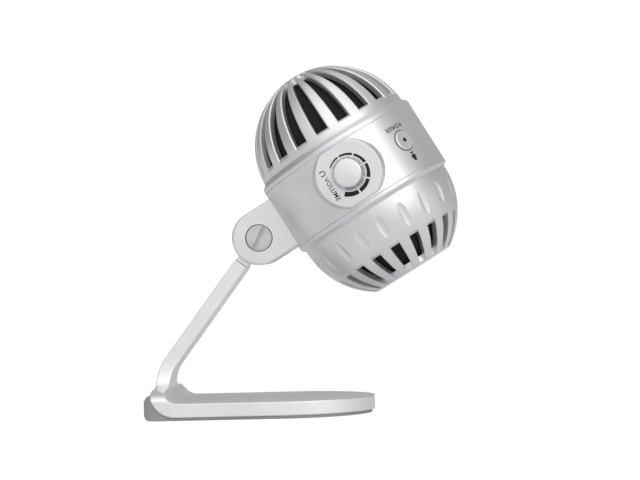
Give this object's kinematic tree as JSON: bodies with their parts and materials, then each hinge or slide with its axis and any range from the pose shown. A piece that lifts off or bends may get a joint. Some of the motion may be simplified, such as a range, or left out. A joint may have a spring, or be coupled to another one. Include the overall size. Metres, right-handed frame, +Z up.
{
  "type": "desktop microphone",
  "caption": "Retro desktop condenser microphone with slotted dome and bowl grilles, volume knob and mute button, tilting on a bent-plate stand.",
  "frame": {"origin": "centre of the base pad's underside", "axes": "+Z up, +X to the front, the side the head leans out over, +Y to the left, away from the volume knob"},
  "size_m": [0.1305, 0.0785, 0.1448],
  "materials": {
    "stand_metal": "satin silver coat",
    "head_metal": "satin silver",
    "knob_metal": "satin silver",
    "grey_rubber": "matte grey",
    "bronze": "turned",
    "screw_steel": "plated",
    "washer_fibre": "matte fibre",
    "black_mesh": "fine black mesh",
    "black_mark": "printed ink",
    "pot_case": "stamped case",
    "dark_window": "smoked",
    "black_plastic": "moulded",
    "circuit_board": "solder mask",
    "clear_light": "lens",
    "port_steel": "plated",
    "black_rubber": "matte",
    "capsule_brass": "machined",
    "diaphragm_gold": "gold film",
    "lead_sleeve": "sleeved wire"
  },
  "bodies": {
    "stand": {"stand_frame": "stand_metal", "base_pad": "grey_rubber", "hinge_bush": "bronze"},
    "head": {"hinge_bracket": "head_metal", "tilt_screw": "screw_steel", "tilt_nut": "screw_steel", "friction_washers": "washer_fibre", "body_band": "head_metal", "bracket_screws": "screw_steel", "upper_trim_ring": "head_metal", "lower_trim_ring": "head_metal", "dome_grille": "head_metal", "bowl_grille": "head_metal", "dome_mesh": "black_mesh", "bowl_mesh": "black_mesh", "dial_plate": "head_metal", "volume_scale": "black_mark", "headphone_mark": "black_mark", "microphone_mark": "black_mark", "volume_pot": "pot_case", "mute_switch": "black_plastic", "main_board": "circuit_board", "chassis_plate": "black_plastic", "board_screws": "screw_steel", "board_chips": "black_plastic", "status_light": "clear_light", "usb_socket": "port_steel", "headphone_socket": "black_plastic", "capsule_bridge": "black_plastic", "dome_screws": "screw_steel", "bowl_screws": "screw_steel", "capsule_mount": "black_rubber", "capsule_housing": "capsule_brass", "capsule_backplate": "capsule_brass", "capsule_diaphragm": "diaphragm_gold", "capsule_leads": "lead_sleeve"},
    "knob": {"volume_knob": "knob_metal", "pot_shaft": "screw_steel"},
    "button": {"mute_button": "knob_metal", "button_window": "dark_window"}
  },
  "joints": [
    {"name": "head_tilt", "type": "hinge", "parent": "stand", "child": "head", "pos_m": [0.00165, 0, 0.07363], "axis": [0, 1, 0], "range_deg": [-35, 40]},
    {"name": "volume_turn", "type": "hinge", "parent": "head", "child": "knob", "pos_m": [0.0416, -0.036, 0.0984], "axis": [0, 1, 0], "range_deg": [0, 300]},
    {"name": "mute_press", "type": "slide", "parent": "head", "child": "button", "axis": [-0.6237, 0.6884, -0.3703], "range_m": [0, 0.0007], "stiffness_N_per_m": 1500}
  ]
}
